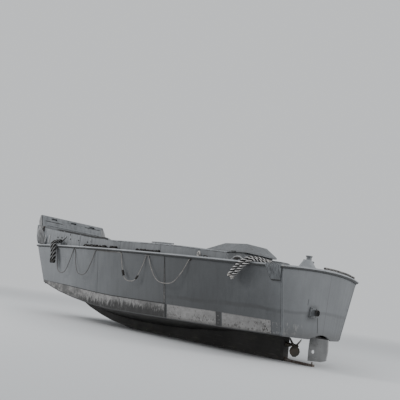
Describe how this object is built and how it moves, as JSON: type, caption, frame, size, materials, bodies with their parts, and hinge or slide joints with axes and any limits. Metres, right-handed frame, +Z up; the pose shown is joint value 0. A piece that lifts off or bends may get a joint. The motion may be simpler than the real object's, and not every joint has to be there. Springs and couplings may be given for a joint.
{
  "type": "military landing craft, ramped plywood boat for men and a light vehicle",
  "caption": "Open ramped landing craft with hinged bow ramp, cargo well, engine hatch, steering wheel, rudder and propeller, resting upright on its keel.",
  "frame": {"origin": "on the underside of the keel shoe, on the centre line, 5.2 m forward of the aft-most point of the transom", "axes": "+X forward to the bow ramp, +Y to port, +Z up"},
  "size_m": [11.1326, 3.4157, 3.2229],
  "materials": {
    "hull_paint": "matt navy grey paint over plywood",
    "bottom_paint": "worn dark bottom paint",
    "rail_paint": "matt light grey paint on timber",
    "deck_paint": "rough deck paint over plywood",
    "armour_paint": "matt navy grey paint on steel plate",
    "steel_paint": "matt grey paint, chipped",
    "bare_steel": "rusty steel",
    "bronze": "dull bronze",
    "rope": "weathered manila rope",
    "dark_rope": "tarred rope"
  },
  "bodies": {
    "hull": {"hull_bottom": "bottom_paint", "port_side_planking": "hull_paint", "starboard_side_planking": "hull_paint", "transom": "hull_paint", "keel": "bottom_paint", "bow_head_log": "hull_paint", "port_rub_rail": "rail_paint", "starboard_rub_rail": "rail_paint", "transom_rail": "rail_paint", "aft_deck": "deck_paint", "port_side_deck": "deck_paint", "starboard_side_deck": "deck_paint", "cargo_deck": "deck_paint", "port_coaming": "hull_paint", "starboard_coaming": "hull_paint", "port_bow_bulwark": "hull_paint", "starboard_bow_bulwark": "hull_paint", "port_well_lining": "hull_paint", "starboard_well_lining": "hull_paint", "port_bow_post": "hull_paint", "starboard_bow_post": "hull_paint", "well_bulkhead": "hull_paint", "cockpit_sole": "deck_paint", "cockpit_bulkhead": "hull_paint", "engine_box": "hull_paint", "engine": "bare_steel", "steering_pedestal": "hull_paint", "engine_controls": "steel_paint", "ramp_winch": "steel_paint", "port_aft_cockpit": "hull_paint", "starboard_aft_cockpit": "hull_paint", "towing_bitt": "steel_paint", "stern_ventilator": "rail_paint", "exhaust_pipe": "bare_steel", "stern_bearing": "bronze", "rudder_heel": "bare_steel", "port_grab_rope": "rope", "starboard_grab_rope": "rope", "port_aft_fender_forward": "rope", "port_aft_fender_after": "rope", "port_bow_fender": "dark_rope", "port_bow_fender_after": "dark_rope", "transom_line": "rope"},
    "ramp": {"bow_ramp": "steel_paint"},
    "hatch": {"engine_hatch_lid": "steel_paint"},
    "wheel": {"steering_wheel": "bare_steel"},
    "screw": {"propeller": "bronze", "propeller_shaft": "bronze"},
    "rudder": {"rudder": "steel_paint"}
  },
  "joints": [
    {"name": "ramp_hinge", "type": "hinge", "parent": "hull", "child": "ramp", "pos_m": [4.82, 0, 0.965], "axis": [0, 1, 0], "range_deg": [0, 88]},
    {"name": "hatch_hinge", "type": "hinge", "parent": "hull", "child": "hatch", "pos_m": [-2.45, -0.6, 2.365], "axis": [1, 0, 0], "range_deg": [0, 100]},
    {"name": "wheel_shaft", "type": "hinge", "parent": "hull", "child": "wheel", "pos_m": [-1.87, 0.88, 2.01], "axis": [0.9063, 0, -0.4226], "range_deg": [-540, 540]},
    {"name": "screw_shaft", "type": "hinge", "parent": "hull", "child": "screw", "pos_m": [-4.43, 0, 0.375], "axis": [1, 0, 0], "continuous": true},
    {"name": "rudder_stock", "type": "hinge", "parent": "hull", "child": "rudder", "pos_m": [-4.92, 0, 0.36], "axis": [0, 0, 1], "range_deg": [-35, 35]}
  ],
  "couplings": [
    {"joint": "rudder_stock", "follows": "wheel_shaft", "ratio": 0.064815}
  ]
}
